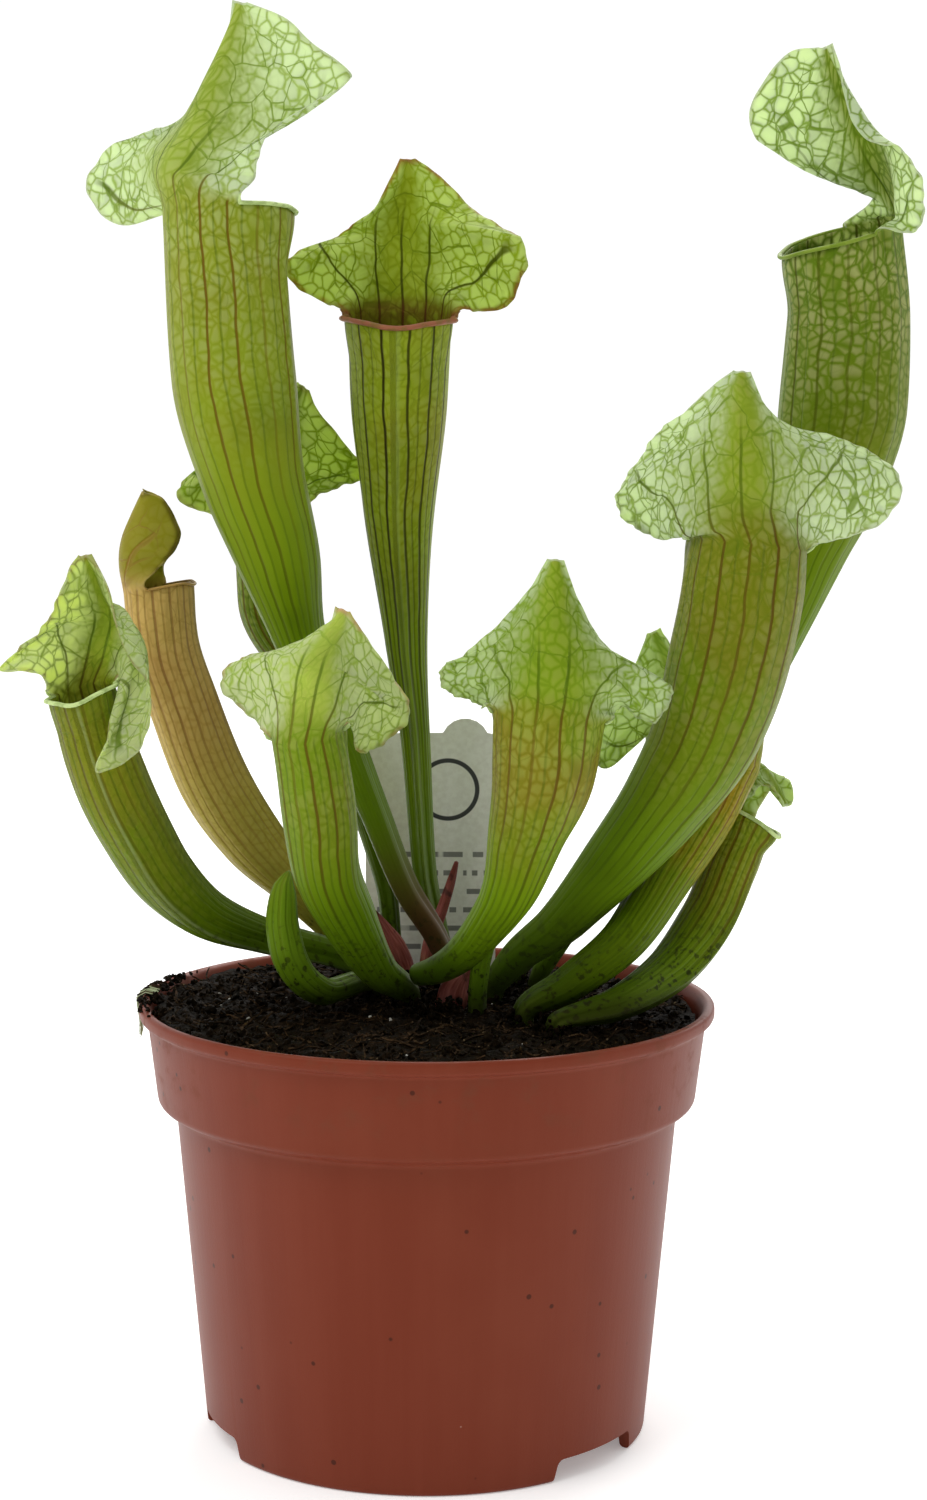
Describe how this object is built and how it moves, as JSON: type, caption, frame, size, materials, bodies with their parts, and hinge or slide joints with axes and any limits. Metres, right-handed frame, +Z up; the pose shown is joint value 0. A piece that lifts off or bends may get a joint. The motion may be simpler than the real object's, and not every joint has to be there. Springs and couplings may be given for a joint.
{
  "type": "potted pitcher plant",
  "caption": "Carnivorous trumpet pitcher plant with tall hollow hooded leaves, in peat in a round plastic nursery pot with a plain stick-in label.",
  "frame": {"origin": "centre of the pot's underside, on the surface that it stands on", "axes": "+Z up, -Y towards the viewer of the picture, +X to the viewer's right"},
  "size_m": [0.1845, 0.12, 0.2945],
  "materials": {
    "pot_plastic": "semi-matte moulded red-brown plastic",
    "peat": "damp fibrous peat, dark brown",
    "label_plastic": "thin warm-grey plastic card",
    "leaf": "yellow-green leaf, satin, thin and translucent at the hoods",
    "brown_leaf": "ageing tan-brown leaf, dry satin",
    "bud": "dusky red-brown bud scale, satin"
  },
  "bodies": {
    "root": {"pot": "pot_plastic", "soil": "peat", "label": "label_plastic", "pitcher_centre": "leaf", "pitcher_tall_left": "leaf", "pitcher_tall_right": "leaf", "pitcher_right": "leaf", "pitcher_front": "leaf", "pitcher_front_left": "leaf", "pitcher_left": "leaf", "pitcher_brown": "brown_leaf", "pitcher_back_left": "leaf", "pitcher_behind": "leaf", "pitcher_low_inner": "leaf", "pitcher_low_outer": "leaf", "pitcher_closed": "leaf", "bud_thin": "bud", "bud_left": "bud", "bud_front": "bud"}
  },
  "joints": []
}
